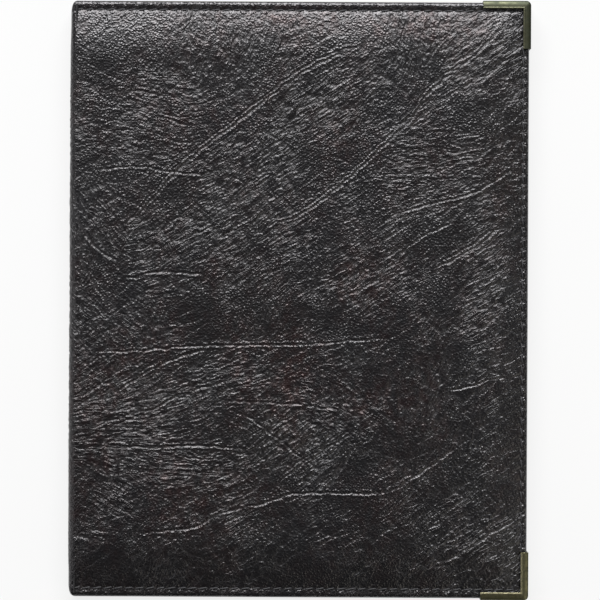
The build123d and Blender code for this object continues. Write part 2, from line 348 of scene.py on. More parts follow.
# %% [markdown]
# ## The padded form
# Under the leather lies sheet foam on a stiff board. Sewing pulls the leather down to the board
# along the border, so beside the stitches it swells up steeply and then runs flat. A falling power
# of the distance gives that swell. The thread also pulls its own valley, so the border outside it
# is a soft roll, with a dimple at each needle hole. Displacing a fine sheet in code keeps all of
# this at its real size.

# %% The swell of the face, from its edges inwards
BORDER_ENDS = STITCH_ENDS + CROWN_PAST_STITCH
BORDER_FORE = STITCH_FORE + CROWN_PAST_STITCH
CORNER_ROUND = 12 * MM
SWELL = 1.8
# The front is plump, as in the photo; the back is pressed flat by the table.
CROWN = {"front": 2.6 * MM, "back": BORDER_DROP}
PLUMP = {"front": 0.4 * MM, "back": 0.0}


def padded_depth(x, y, side):
    """How far the soft face lies below its flat middle, without wrinkles."""
    from_end = HALF_H - np.abs(y) - BORDER_ENDS
    from_fore = FORE_X - x - BORDER_FORE
    corner_x = np.clip(CORNER_ROUND - from_fore, 0, None)
    corner_y = np.clip(CORNER_ROUND - from_end, 0, None)
    inside = CORNER_ROUND - np.hypot(corner_x, corner_y)
    inside = np.where((corner_x > 0) & (corner_y > 0), inside, np.minimum(from_end, from_fore))
    step = np.clip(inside / CROWN_RUN, 0, 1)
    return CROWN[side] * (1 - step) ** SWELL - PLUMP[side]


# %% The valley of the stitches and the soft roll outside it
VALLEY_HEAD = 0.50 * MM
VALLEY_FOOT = 0.22 * MM
VALLEY_FORE = 0.30 * MM
VALLEY_WIDTH = 0.9 * MM
VALLEY_UNEVEN, VALLEY_UNEVEN_SIZE = 0.35, 4 * MM
PUCKER_DEPTH = 0.16 * MM


def sewn_depth(x, y, ragged):
    """The valley that the thread pulls along the border, and the puckers between its holes."""
    out_end = np.abs(y) - (HALF_H - STITCH_ENDS)
    out_fore = x - (FORE_X - STITCH_FORE)
    at_end = out_end / STITCH_ENDS > out_fore / STITCH_FORE
    off = np.where(at_end, out_end, out_fore)
    along = np.where(at_end, x, y)
    valley_end = np.where(y > 0, VALLEY_HEAD, VALLEY_FOOT)
    uneven = 1 + VALLEY_UNEVEN * ragged(along / VALLEY_UNEVEN_SIZE, off / VALLEY_UNEVEN_SIZE)
    valley = np.where(at_end, valley_end, VALLEY_FORE) * uneven
    room = np.where(at_end, STITCH_ENDS, STITCH_FORE) - EDGE_R
    outside = np.clip(1 - off / room, 0, 1) ** 2
    inside = np.exp(-((off / VALLEY_WIDTH) ** 2))
    pucker = PUCKER_DEPTH * np.cos(2 * math.pi * along / STITCH_PITCH)
    pucker *= np.exp(-((off / (2 * VALLEY_WIDTH)) ** 2))
    return valley * np.where(off > 0, outside, inside) + pucker


# %% The wrinkles and creases of one cover
LEATHER_SEED = {"front": 11, "back": 57}
# A kind of groove: its depth, its width, how far it runs on and how sharp it is.
BUNDLE = (0.43 * MM, 2.3 * MM, 4 * MM, 0.28)
CROSS = (0.15 * MM, 2.2 * MM, 3 * MM, 0.28)
VEIN = (0.16 * MM, 8.0 * MM, 30 * MM, 0.10)
VEIN_DRIFT, VEIN_DRIFT_SIZE = 0.35, 50 * MM
SWELL_SHARE = 0.2
# A kind of soft hill: its height and its width.
PLATE = (0.05 * MM, 5.0 * MM)
DRAPE = (0.15 * MM, 35 * MM)
# The back rests on its highest folds, and the table presses those flat.
TABLE_GAP = 0.3 * MM
PRESSED_GAP = 0.02 * MM
WARM_BASE = 0.30


def relief(x, y, side):
    """The depth of wrinkles and creases below the padded form, their way and their strength."""
    seed = LEATHER_SEED[side]
    angle, strength = directions(x, y, seed)
    bundle, swell = lines(x, y, angle, *BUNDLE[1:], seed + 2)
    cross, _ = lines(x, y, angle + CROSS_TURN, *CROSS[1:], seed + 3)
    drift = VEIN_DRIFT * noise_at(seed + 9, x, y, VEIN_DRIFT_SIZE)
    vein_up, _ = lines(x, y, LONG_TURN + drift, *VEIN[1:], seed + 10)
    vein_down, _ = lines(x, y, -LONG_TURN - drift, *VEIN[1:], seed + 11)
    depth = BUNDLE[0] * strength * (bundle + SWELL_SHARE * swell)
    depth += CROSS[0] * (0.15 + strength) * cross
    depth += VEIN[0] * (vein_up + 0.8 * vein_down)
    depth += PLATE[0] * noise_at(seed + 7, x, y, PLATE[1])
    wander = make_noise(seed + 6)
    for points, width, deep, double in CREASES.values():
        placed = points if side == "front" else [(px, -py) for px, py in points]
        depth += crease_depth(x, y, placed, width * MM, deep * MM, double, wander)
    return depth, angle, strength


def face_depth(x, y, side):
    """The depth of a cover's face and of its sewing, with what the finish needs."""
    folds, angle, strength = relief(x, y, side)
    from_end = (HALF_H - np.abs(y)) / BORDER_ENDS
    from_fore = (FORE_X - x) / BORDER_FORE
    inner = ease(from_end - 0.2) * ease(from_fore - 0.2)
    ragged = make_noise(LEATHER_SEED[side] + 30)
    drape = DRAPE[0] * noise_at(LEATHER_SEED[side] + 5, x, y, DRAPE[1])
    depth = padded_depth(x, y, side) + drape + folds * (0.75 + 0.25 * inner)
    if side == "back":
        depth = np.maximum(depth + TABLE_GAP, PRESSED_GAP)
    return depth, sewn_depth(x, y, ragged), folds, angle, strength


def warmth(x, y, side):
    """How brown the hide is at each point."""
    seed = LEATHER_SEED[side]
    total = WARM_BASE * ease(0.5 + noise_at(seed + 20, x, y, 20 * MM, 30 * MM))
    for (cx, cy), half, force in WARM_SPOTS:
        total += bump_weight(x, y, (cx, cy if side == "front" else -cy), half, force)
    ragged = 0.6 + 0.7 * noise_at(seed + 21, x, y, 4 * MM, 7 * MM)
    return np.clip(total * ragged, 0, 1)


# %% [markdown]
# ## The leather as two sheets
# On the real cover one piece of leather runs from the fore-edge over the front, round the spine and
# over the back. It bends at two fold lines. We make it in two sheets that meet in the middle of the
# spine, because each may bend across one fold only. A sheet is a fine grid laid along the section
# of the cover: the flat face, the roll into the spine and half of the spine's flat. The three free
# edges are then rolled over the board and turned in, ring by ring.

# %% The section of the sheet from the middle of the spine to the fore-edge
GRIDS = {"front": 0.40 * MM, "back": 0.80 * MM}
ARC = math.pi / 2 * ROLL_R
SECTION_START = -(ARC + MIDDLE_Z - ROLL_R)
SEAM_FADE = 3 * MM
# The spine has no foam, so little of the padded form runs on to it.
SPINE_SWELL = 0.25


def section(along):
    """Place and inward normal on the front's section, by the length from where the roll begins."""
    turn = np.clip(-along / ROLL_R, 0, math.pi / 2)
    x = COVER_X - ROLL_R * np.sin(turn) + np.clip(along, 0, None)
    z = TOP_Z - ROLL_R * (1 - np.cos(turn)) - np.clip(-along - ARC, 0, None)
    return x, z, np.sin(turn), -np.cos(turn)


def round_spine_ends(x, y):
    """Draw the ends in where the spine's corners are rounded in plan."""
    past = np.clip(SPINE_CORNER_R - (x - SPINE_X), 0, SPINE_CORNER_R)
    drawn_in = SPINE_CORNER_R - np.sqrt(SPINE_CORNER_R**2 - past**2)
    return y * (1 - drawn_in / HALF_H)


# %% The rolled and turned-in edges
ROLL_STEPS = 6
FAN = [math.radians(a) for a in (67.5, 45, 22.5)]


def edge_rings(full):
    """How far out and how deep each ring lies, from the top face round to the turned-in edge."""
    wall = full - INNER_R
    roll = np.minimum(EDGE_R, wall)
    still = np.zeros_like(full)
    rings = []
    for turn in np.linspace(0, math.pi / 2, ROLL_STEPS + 1)[1:]:
        rings.append((EDGE_R * math.sin(turn) + still, roll * (1 - math.cos(turn))))
    rings.append((EDGE_R + still, (roll + wall) / 2))
    for turn in np.linspace(0, math.pi / 2, 4):
        out = EDGE_R - INNER_R * (1 - math.cos(turn))
        rings.append((out + still, wall + INNER_R * math.sin(turn)))
    rings.append((EDGE_R - TURN_IN / 3 + still, full))
    rings.append((EDGE_R - TURN_IN + still, full))
    return rings


def free_edge(columns, rows):
    """The grid places along the free edge, tail to head, each with its outward direction."""
    edge = [(i, 0, 0.0, -1.0) for i in range(columns)]
    edge += [(columns - 1, 0, math.cos(a), -math.sin(a)) for a in FAN]
    edge += [(columns - 1, j, 1.0, 0.0) for j in range(rows)]
    edge += [(columns - 1, rows - 1, math.cos(a), math.sin(a)) for a in reversed(FAN)]
    edge += [(i, rows - 1, 0.0, 1.0) for i in reversed(range(columns))]
    return edge


def ring_points(points, normals, outward, out, deep, on_cover):
    """The points of one ring of the edge, kept inside the mitred corners where it is turned in."""
    ring = points + normals * deep[:, None]
    turned_in = out < 0
    outward = np.where(turned_in[:, None], np.sign(np.round(outward, 3)), outward)
    ring[:, :2] += outward * out[:, None]
    limit = np.array([FORE_X - EDGE_R, HALF_H - EDGE_R]) + np.minimum(out, 0)[:, None]
    kept = on_cover & turned_in
    ring[kept, :2] = np.clip(ring[:, :2], -limit, limit)[kept]
    return ring


# %% Roll the edges over
def rolled_edge(points, normals, columns, rows, on_face, border):
    """Rings of points, and of the quads that join them, round the sheet's free edges."""
    edge = free_edge(columns, rows)
    index = np.array([i * rows + j for i, j, _, _ in edge])
    outward = np.array([(ox, oy) for _, _, ox, oy in edge])
    share = on_face.reshape(-1)[index]
    full = SPINE_DEPTH + (border - SPINE_DEPTH) * share
    rings, strips, previous, now = [], [], index, len(points) + np.arange(len(index))
    for out, deep in edge_rings(full):
        ring = ring_points(points[index], normals[index], outward, out, deep, share > 0.99)
        rings.append(ring)
        strips.append(np.stack([previous[:-1], now[:-1], now[1:], previous[1:]], axis=-1))
        previous, now = now, now + len(index)
    return rings, strips


# %% A mesh from arrays
DOUBLE = 1e-6


def array_mesh(name, points, quads, loose_from):
    """A mesh from points and quads; doubles past loose_from are merged, flat quads cut."""
    keys = np.round(points[loose_from:] / DOUBLE).astype(np.int64)
    _, first, same = np.unique(keys, axis=0, return_index=True, return_inverse=True)
    index = np.arange(len(points))
    index[loose_from:] = loose_from + first[same.reshape(-1)]
    used, quads = np.unique(index[quads], return_inverse=True)
    quads = quads.reshape(-1, 4)
    repeated = quads == np.roll(quads, -1, axis=1)
    count = repeated.sum(axis=1)
    whole, cut = quads[count == 0], quads[count == 1][~repeated[count == 1]]
    starts = [np.arange(len(whole)) * 4, len(whole) * 4 + np.arange(len(cut) // 3) * 3]
    mesh = bpy.data.meshes.new(name)
    mesh.vertices.add(len(used))
    mesh.vertices.foreach_set("co", points[used].reshape(-1))
    corners = np.concatenate([whole.reshape(-1), cut])
    mesh.loops.add(len(corners))
    mesh.loops.foreach_set("vertex_index", corners)
    starts = np.concatenate(starts)
    mesh.polygons.add(len(starts))
    mesh.polygons.foreach_set("loop_start", starts)
    mesh.update(calc_edges=True)
    mesh.validate()
    mesh.shade_smooth()
    return mesh


def set_attributes(mesh, spreads):
    """Values at the points of the face, as attributes; the rolled edges keep 0."""
    for label, spread in spreads.items():
        values = np.zeros(len(mesh.vertices), np.float32)
        values[: spread.size] = spread.reshape(-1)
        mesh.attributes.new(label, "FLOAT", "POINT").data.foreach_set("value", values)


# %% Build one leather sheet
DRAWN_WAYS = (0, 36, 72, 108, 144)
WAY_SPREAD = math.radians(24)
FULL_HOLLOW = 0.3 * MM


def drawn_share(angle, strength, degrees):
    """How much the hide is drawn one way at each point."""
    gap = (angle - math.radians(degrees) + math.pi / 2) % math.pi - math.pi / 2
    return strength * np.exp(-((gap / WAY_SPREAD) ** 2))


def leather_sheet(name, side):
    """A padded cover's leather with its half of the spine, as one mesh in its place."""
    grid = GRIDS[side]
    fore_along = FORE_X - EDGE_R - COVER_X
    columns = int((fore_along - SECTION_START) / grid) + 1
    rows = int(2 * (HALF_H - EDGE_R) / grid) + 1
    along, y = np.meshgrid(
        np.linspace(SECTION_START, fore_along, columns),
        np.linspace(-(HALF_H - EDGE_R), HALF_H - EDGE_R, rows),
        indexing="ij",
    )
    flat_x = COVER_X + along
    x, z, nx, nz = section(along)
    depth, sewn, folds, angle, strength = face_depth(flat_x, y, side)
    on_face = ease((along + ARC) / ARC)
    depth -= (1 - SPINE_SWELL) * (1 - on_face) * padded_depth(flat_x, y, side)
    depth = depth * ease((along - SECTION_START) / SEAM_FADE) + sewn * on_face
    points = np.stack([x + nx * depth, y, z + nz * depth], axis=-1).reshape(-1, 3)
    normals = np.stack([nx, np.zeros_like(nx), nz], axis=-1).reshape(-1, 3)

    i, j = np.meshgrid(np.arange(columns - 1), np.arange(rows - 1), indexing="ij")
    corner = (i * rows + j).reshape(-1)
    face = np.stack([corner, corner + rows, corner + rows + 1, corner + 1], axis=-1)
    border = LEATHER_DEPTH - CROWN[side] + PLUMP[side]
    rings, strips = rolled_edge(points, normals, columns, rows, on_face, border)
    everything, quads = np.concatenate([points, *rings]), np.concatenate([face, *strips])
    everything[:, 1] = round_spine_ends(everything[:, 0], everything[:, 1])
    if side == "back":
        everything[:, 2] = TOP_Z - everything[:, 2]
        quads = quads[:, ::-1]
    mesh = array_mesh(name, everything, quads, len(points))
    spreads = {
        "warmth": warmth(flat_x, y, side),
        "hollow": np.clip(folds / FULL_HOLLOW, 0, 1),
        "wrinkled": np.clip(strength, 0, 1),
    }
    for degrees in DRAWN_WAYS:
        spreads[f"drawn_{degrees}"] = drawn_share(angle, strength, degrees)
    set_attributes(mesh, spreads)
    print(f"{name}: {len(mesh.vertices)} points, {len(mesh.polygons)} faces")
    return add_object(name, mesh)


front_leather = leather_sheet("front_cover_leather", "front")
back_leather = leather_sheet("back_cover_leather", "back")


# %% [markdown]
# ## Materials
# A material here is a small tree of nodes. Patterns read Object coordinates, in metres, so a scale
# of 1000 means one swing to a millimetre. A few helpers put the usual parts together: a colour that
# varies, a roughness that varies and a bump, whose heights are real ones.

# %% Helpers for node trees
def give(tree, node, given):
    """Give a node's inputs what they need: each is joined to a socket or set to a value."""
    for key, value in given.items():
        if isinstance(value, bpy.types.NodeSocket):
            tree.links.new(value, node.inputs[key])
        else:
            node.inputs[key].default_value = value


def add(tree, kind, given=None, **settings):
    """A new node in a tree, with its settings and its inputs."""
    node = tree.nodes.new(kind)
    for name, value in settings.items():
        setattr(node, name, value)
    give(tree, node, given or {})
    return node


def new_material(name):
    """A material with its tree, its shader, and the place on the object as a socket."""
    material = bpy.data.materials.new(name)
    material.use_nodes = True
    tree = material.node_tree
    tree.nodes.clear()
    shader = add(tree, "ShaderNodeBsdfPrincipled")
    add(tree, "ShaderNodeOutputMaterial", {"Surface": shader.outputs["BSDF"]})
    return material, tree, shader, add(tree, "ShaderNodeTexCoord").outputs["Object"]


# %% Helpers for patterns
def noise_node(tree, place, scale, detail=3.0, rough=0.55, stretch=(1, 1, 1), turn=0.0):
    """Noise at a scale, drawn out by a stretch along a turned axis."""
    given = {"Vector": place, "Scale": stretch, "Rotation": (0, 0, turn)}
    drawn = add(tree, "ShaderNodeMapping", given, vector_type="TEXTURE").outputs["Vector"]
    given = {"Vector": drawn, "Scale": scale, "Detail": detail, "Roughness": rough}
    return add(tree, "ShaderNodeTexNoise", given).outputs["Fac"]


def ramp_node(tree, value, stops):
    """A value turned into a colour through (place, colour) stops."""
    ramp = add(tree, "ShaderNodeValToRGB", {"Fac": value})
    elements = ramp.color_ramp.elements
    while len(elements) > 1:
        elements.remove(elements[-1])
    elements[0].position, elements[0].color = stops[0][0], (*stops[0][1], 1)
    for place, colour in stops[1:]:
        elements.new(place).color = (*colour, 1)
    return ramp.outputs["Color"]


def math_node(tree, kind, *values):
    """One sum, product or other result of values, each a number or a socket."""
    return add(tree, "ShaderNodeMath", dict(enumerate(values)), operation=kind).outputs[0]


def range_node(tree, value, low, high, to_low, to_high):
    """A value carried from one range to another."""
    given = {"Value": value, "From Min": low, "From Max": high, "To Min": to_low, "To Max": to_high}
    return add(tree, "ShaderNodeMapRange", given).outputs["Result"]


def mix_colours(tree, share, *colours):
    """Two colours mixed by a share, each a colour or a socket."""
    a, b = ((*colour, 1) if isinstance(colour, tuple) else colour for colour in colours)
    return add(tree, "ShaderNodeMix", {"Factor": share, 6: a, 7: b}, data_type="RGBA").outputs[2]


def attribute_node(tree, name):
    """The value of a mesh attribute."""
    return add(tree, "ShaderNodeAttribute", attribute_name=name).outputs["Fac"]


def bump_node(tree, height):
    """A bump from a height in metres."""
    given = {"Height": height, "Distance": 1.0, "Strength": 1.0}
    return add(tree, "ShaderNodeBump", given).outputs["Normal"]


# %% A finish from one pattern
def mottled_material(name, noise, stops, rough, bump=0.0, grain_scale=None, alpha=1.0):
    """A material whose colour and roughness follow a noise, bumped by it or by a fine grain."""
    material, tree, shader, place = new_material(name)
    cloud = height = noise_node(tree, place, *noise)
    given = {"Base Color": ramp_node(tree, cloud, stops), "Roughness": rough, "Alpha": alpha}
    if isinstance(rough, tuple):
        given["Roughness"] = range_node(tree, cloud, 0.3, 0.7, *rough)
    if grain_scale:
        grain = {"Scale": grain_scale, "Vector": place}
        height = add(tree, "ShaderNodeTexVoronoi", grain).outputs["Distance"]
    if bump:
        given["Normal"] = bump_node(tree, math_node(tree, "MULTIPLY", height, bump))
    give(tree, shader, given)
    return material


# %% [markdown]
# ## The leather's finish
# The hide is nearly black, with patches of red-brown where the top coat is thin. Two patterns make
# its surface: a pebble grain about a millimetre wide, and fine drawn lines. The lines are stretched
# noise, once for each of five ways across the face. Attributes on the sheet say how much the hide
# is drawn each way at a point, so the fine lines keep to the folds of the mesh, and cross where two
# ways meet.

# %% The fine drawn lines
LINE_SCALE = 560
LINE_STRETCH = (10, 1, 1)
LINE_EDGE = 0.05
LINE_DEPTH = 0.085 * MM
DRAWN_EVERYWHERE = 0.08
BEND_SCALE = 55
BEND = (0.008, 0.008, 0.008)


def drawn_lines(tree, place):
    """The depth of fine grooves, each shown where the hide is drawn its way."""
    bend = add(tree, "ShaderNodeTexNoise", {"Scale": BEND_SCALE, "Vector": place})
    given = {0: bend.outputs["Color"], 1: BEND, 2: place}
    bent = add(tree, "ShaderNodeVectorMath", given, operation="MULTIPLY_ADD").outputs[0]
    total = 0.0
    for degrees in DRAWN_WAYS:
        turn = math.radians(degrees)
        flow = noise_node(tree, bent, LINE_SCALE, 1.0, 0.5, LINE_STRETCH, turn)
        off = math_node(tree, "ABSOLUTE", math_node(tree, "SUBTRACT", flow, 0.5))
        groove = range_node(tree, off, 0, LINE_EDGE, 1, 0)
        drawn = attribute_node(tree, f"drawn_{degrees}")
        share = math_node(tree, "ADD", drawn, DRAWN_EVERYWHERE)
        total = math_node(tree, "MULTIPLY_ADD", groove, share, total)
    return math_node(tree, "MULTIPLY", total, LINE_DEPTH)


# %% The colour of the hide
BLACK_HIDE = (0.0026, 0.0022, 0.0025)
COOL_HIDE = (0.0023, 0.0022, 0.0031)
BROWN_HIDE = (0.0085, 0.0024, 0.0025)
COOL_SHEEN = (1.0, 0.985, 1.01)
BROWN_SHEEN = (1.0, 0.82, 0.81)
COOL_SCALE = 28
SPECKLE_SCALE = 330
SPECKLE = (0.4, 1.2)


def hide_colours(tree, place):
    """The colour of the hide and of its sheen: black, cool in places, brown where it is warm."""
    cool = range_node(tree, noise_node(tree, place, COOL_SCALE, 2.0), 0.4, 0.65, 0, 1)
    base = mix_colours(tree, cool, BLACK_HIDE, COOL_HIDE)
    speckle = range_node(tree, noise_node(tree, place, SPECKLE_SCALE), 0.35, 0.6, *SPECKLE)
    warm = math_node(tree, "MULTIPLY", attribute_node(tree, "warmth"), speckle)
    sheen = mix_colours(tree, warm, COOL_SHEEN, BROWN_SHEEN)
    return mix_colours(tree, warm, base, BROWN_HIDE), sheen


# %% The grained leather
GRAIN_SCALE = 880
GRAIN_DEPTH = 0.20 * MM
GRAIN_SOFT = 0.35
FINE_SCALE = 1900
FINE_DEPTH = 0.03 * MM
# How much of the grain is left: in worn and in fresh places, and where the hide is wrinkled.
WORN_SCALE = 70
WORN = (0.75, 1.25)
WRINKLED_GRAIN = 0.55
# The roughness of the leather in its grain's pits and on its tops, and what a crease adds.
POLISH = (0.34, 0.26)
CREASE_DULL = 0.12


def leather_material():
    """Grained, mottled, half-matt leather."""
    material, tree, shader, place = new_material("grained_leather")
    colour, sheen = hide_colours(tree, place)
    given = {"Vector": place, "Scale": GRAIN_SCALE, "Smoothness": GRAIN_SOFT}
    pebble = add(tree, "ShaderNodeTexVoronoi", given, feature="SMOOTH_F1")
    tops = range_node(tree, pebble.outputs["Distance"], 0.0, 0.7, 1, 0)
    worn = range_node(tree, noise_node(tree, place, WORN_SCALE, 3.0), 0.35, 0.65, *WORN)
    grain = math_node(tree, "MULTIPLY", tops, worn)
    smoothed = range_node(tree, attribute_node(tree, "wrinkled"), 0.3, 1, 1, WRINKLED_GRAIN)
    grain = math_node(tree, "MULTIPLY", grain, smoothed)
    fine = math_node(tree, "MULTIPLY", noise_node(tree, place, FINE_SCALE, 1.0), FINE_DEPTH)
    height = math_node(tree, "MULTIPLY_ADD", grain, GRAIN_DEPTH, fine)
    height = math_node(tree, "SUBTRACT", height, drawn_lines(tree, place))
    polished = range_node(tree, tops, 0, 1, *POLISH)
    hollow = attribute_node(tree, "hollow")
    give(tree, shader, {
        "Base Color": colour,
        "Specular Tint": sheen,
        "Specular IOR Level": 1.0,
        "Roughness": math_node(tree, "MULTIPLY_ADD", hollow, CREASE_DULL, polished),
        "Normal": bump_node(tree, height),
    })
    return material


leather = leather_material()
for piece in (front_leather, back_leather):
    piece.data.materials.append(leather)
print("leather nodes:", len(leather.node_tree.nodes))


# %% [markdown]
# ## Brass corners
# A corner is stamped from sheet brass and folded over the cover's edge. Its section is a channel: a
# face with a raised bead along its inner edge, a rounded rim, a side wall and an inner leg. The
# section runs up one leg, turns through a rounded nose and runs along the other. Inside the nose
# the section's points would cross, so they meet in a mitre instead. Sweeping the section in code
# gives the mitre and the nose at once, and keeps the walls the true thickness of the sheet.

# %% The corner's section
corner_low, corner_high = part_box("front_corner_top")
BRASS_T = 0.8 * MM
BRASS_REACH = 4.2 * MM
NOSE_R = 2.5 * MM
BEAD_W = 0.9 * MM
BEAD_H = 0.28 * MM
FACE_W = BRASS_REACH - BEAD_W
FACE_FALL = 1.25 * MM
LOW_RIM = 0.6 * MM
FACE_Z = corner_high.z - BEAD_H
# Steps of the outline round the bead, the face and the low rim, and of a leg and the nose.
BEAD_STEPS, FACE_STEPS, RIM_STEPS, LEG_STEPS, NOSE_STEPS = 9, 10, 6, 9, 9


def quarter(steps):
    """Angles through a quarter turn, without the first."""
    return np.linspace(0, math.pi / 2, steps + 1)[1:]


def channel_section():
    """The outline as rows of distance in from the outer wall, depth below the face, and the share
    of
    pale metal: partly wear, partly a painted highlight on the bead and painted shade at the rim.
    """
    back = FACE_Z - corner_low.z
    rows = []
    for a in np.linspace(0, math.pi, BEAD_STEPS):
        inward = FACE_W + BEAD_W / 2 * (1 + math.cos(a))
        rows.append((inward, -BEAD_H * math.sin(a), 0.4 + 0.6 * math.sin(a)))
    for a in quarter(FACE_STEPS):
        depth = FACE_FALL * (1 - math.cos(a))
        rows.append((FACE_W * (1 - math.sin(a)), depth, 0.35 * math.cos(a) ** 2))
    for a in quarter(RIM_STEPS):
        rows.append((LOW_RIM * (1 - math.cos(a)), back - LOW_RIM * (1 - math.sin(a)), 0.2))
    inner = [(BRASS_REACH, back), (BRASS_REACH, back - BRASS_T), (BRASS_T, back - BRASS_T)]
    inner += [(BRASS_T, BRASS_T + 0.2 * MM), (BRASS_REACH, BRASS_T)]
    return rows + [(a, b, 0.1) for a, b in inner]


def corner_stations():
    """The places of the section along the corner: up one leg, round the nose, along the other."""
    stations = [("leg_y", t) for t in np.linspace(1, 0, LEG_STEPS)]
    stations += [("nose", a) for a in quarter(NOSE_STEPS)[:-1]]
    stations += [("leg_x", t) for t in np.linspace(0, 1, LEG_STEPS)]
    return stations


def corner_point(kind, value, inward, depth):
    """One point of the corner at the head of the front cover."""
    past = max(inward - NOSE_R, 0)
    x, y = corner_high.x - NOSE_R - past, corner_high.y - NOSE_R - past
    if kind == "leg_y":
        return (corner_high.x - inward, y + (corner_low.y - y) * value, FACE_Z - depth)
    if kind == "leg_x":
        return (x + (corner_low.x - x) * value, corner_high.y - inward, FACE_Z - depth)
    reach = max(NOSE_R - inward, 0)
    return (x + reach * math.cos(value), y + reach * math.sin(value), FACE_Z - depth)


# %% Build the four corners
MITRE_SHARP = math.radians(20)
SOFT_EDGE = 0.1 * MM
SOFT_FROM = math.radians(50)


def brass_corner(name, body, node, flip_y, flip_z):
    """One folded brass corner, mirrored into its place."""
    section_rows = channel_section()
    work = bmesh.new()
    # The share of pale metal: partly wear, partly a painted highlight on the bead and painted shade
    # at the rim.
    wear_and_light = work.verts.layers.float.new("wear_and_light")
    rows = []
    for kind, value in corner_stations():
        rows.append([work.verts.new(corner_point(kind, value, a, b)) for a, b, _ in section_rows])
        for vert, (_, _, wear_light_share) in zip(rows[-1], section_rows):
            vert[wear_and_light] = wear_light_share
    for a, b in zip(rows, rows[1:]):
        for p in range(len(section_rows)):
            q = (p + 1) % len(section_rows)
            work.faces.new((a[p], a[q], b[q], b[p]))
    work.faces.new(rows[0][::-1])
    work.faces.new(rows[-1])
    bmesh.ops.remove_doubles(work, verts=work.verts, dist=2e-6)
    bmesh.ops.dissolve_degenerate(work, edges=work.edges, dist=1e-6)
    for vert in work.verts:
        vert.co.y *= -1 if flip_y else 1
        vert.co.z = TOP_Z - vert.co.z if flip_z else vert.co.z
    bmesh.ops.recalc_face_normals(work, faces=work.faces)
    mesh = bpy.data.meshes.new(name)
    work.to_mesh(mesh)
    work.free()
    mesh.shade_smooth()
    mesh.set_sharp_from_angle(angle=MITRE_SHARP)
    piece = add_object(name, mesh)
    bevel = piece.modifiers.new("soft_edges", "BEVEL")
    bevel.width = SOFT_EDGE
    bevel.segments = 2
    bevel.limit_method = "ANGLE"
    bevel.angle_limit = SOFT_FROM
    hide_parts(node)
    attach(piece, body)
    print(f"{name}: {len(mesh.polygons)} faces")
    return piece


corners = []
for side, flip_z in (("front", False), ("back", True)):
    for end, flip_y in (("top", False), ("bottom", True)):
        node = f"{side}_corner_{end}"
        corners.append(brass_corner(f"{node}_brass", f"{side}_cover", node, flip_y, flip_z))


# %% [markdown]
# ## Antique brass
# The brass is dulled green-brown, with a paler metal on the bead and a little on the face, fading
# to
# none at the rim: partly wear, partly a painted highlight on the bead and painted shade at the rim.
# This share is an attribute of the swept section, so it stays on the bead all the way. Noise breaks
# the tarnish up, and fine scratches run through it. The corners at the head are painted darker and
# greener: partly stain, partly painted shade.

# %% The brass
BRASS_DARK = (0.060, 0.062, 0.034)
BRASS_DULL = (0.165, 0.162, 0.080)
BRASS_PALE = (0.300, 0.285, 0.140)
# Pale bare brass, laid on the bead: partly wear, partly a painted highlight.
BRASS_BRIGHT = (0.74, 0.68, 0.43)
# Dark green for the head corners: partly verdigris, partly painted shade.
VERDIGRIS_AND_SHADE = (0.042, 0.052, 0.040)
TARNISH_SCALE = 300
FLECK_SCALE = 800
# The roughness of dark and of pale brass, and what the head's full stain and painted shade add.
BRASS_ROUGH = (0.42, 0.30)
STAIN_ROUGH = 0.15
# The corners at the head are painted darker and greener than those at the foot: partly more
# verdigris, partly a painted shade and greenish reflection.
STAIN_SHADE_FROM, STAIN_SHADE_TO, STAIN_AND_SHADE = -0.05, 0.10, 0.8
SCRATCH_SCALE = 900
SCRATCH_STRETCH = (12, 1, 1)
SCRATCH_TURN = 0.7
SCRATCH_DEPTH = 0.012 * MM


def brass_material():
    """Tarnished brass; its pale bead is partly wear, partly a painted highlight."""
    material, tree, shader, place = new_material("antique_brass")
    cloud = noise_node(tree, place, TARNISH_SCALE, 4.0)
    dull = ramp_node(tree, cloud, [(0.35, BRASS_DARK), (0.58, BRASS_DULL), (0.8, BRASS_PALE)])
    # Pale metal by the section's share: partly wear, partly painted highlight and painted shade.
    flecks = range_node(tree, noise_node(tree, place, FLECK_SCALE, 2.0), 0.3, 0.6, 0.45, 1)
    bare_and_lit = math_node(tree, "MULTIPLY", attribute_node(tree, "wear_and_light"), flecks)
    wear_and_light = mix_colours(tree, bare_and_lit, dull, BRASS_BRIGHT)
    # Painted shade: the corners towards the head are darker and greener, partly as stain.
    y = add(tree, "ShaderNodeSeparateXYZ", {0: place}).outputs["Y"]
    stain_and_shade = range_node(tree, y, STAIN_SHADE_FROM, STAIN_SHADE_TO, 0, STAIN_AND_SHADE)
    polish = range_node(tree, cloud, 0.3, 0.7, *BRASS_ROUGH)
    scratches = noise_node(tree, place, SCRATCH_SCALE, 2.0, 0.5, SCRATCH_STRETCH, SCRATCH_TURN)
    give(tree, shader, {
        "Base Color": mix_colours(tree, stain_and_shade, wear_and_light, VERDIGRIS_AND_SHADE),
        "Metallic": 1.0,
        "Roughness": math_node(tree, "MULTIPLY_ADD", stain_and_shade, STAIN_ROUGH, polish),
        "Normal": bump_node(tree, math_node(tree, "MULTIPLY", scratches, SCRATCH_DEPTH)),
    })
    return material


brass = brass_material()
for piece in corners:
    piece.data.materials.append(brass)
print("brass on", len(corners), "corners")


# %% [markdown]
# ## Stitches
# The border is sewn with one waxed thread. Each stitch is a short strand that dives into the
# leather at both ends and lies a little slanted, because the holes are pierced with a slanted awl.
# A geometry-node tree makes them all: it walks a path at the stitch's pitch, sets a strand at each
# step, turns it along the path and gives it a small random slant.

# %% The stitch tree's inputs
THREAD_R = 0.42 * MM
STITCH_LENGTH = 4.5 * MM
SLANT_SPREAD = 0.05
STITCH_VALUES = {
    "Pitch": STITCH_PITCH, "Length": STITCH_LENGTH, "Thread radius": THREAD_R, "Slant": 0.16,
    "Sink": 0.4 * MM, "Seed": 3, "Bends": 10, "Sides": 8,
}
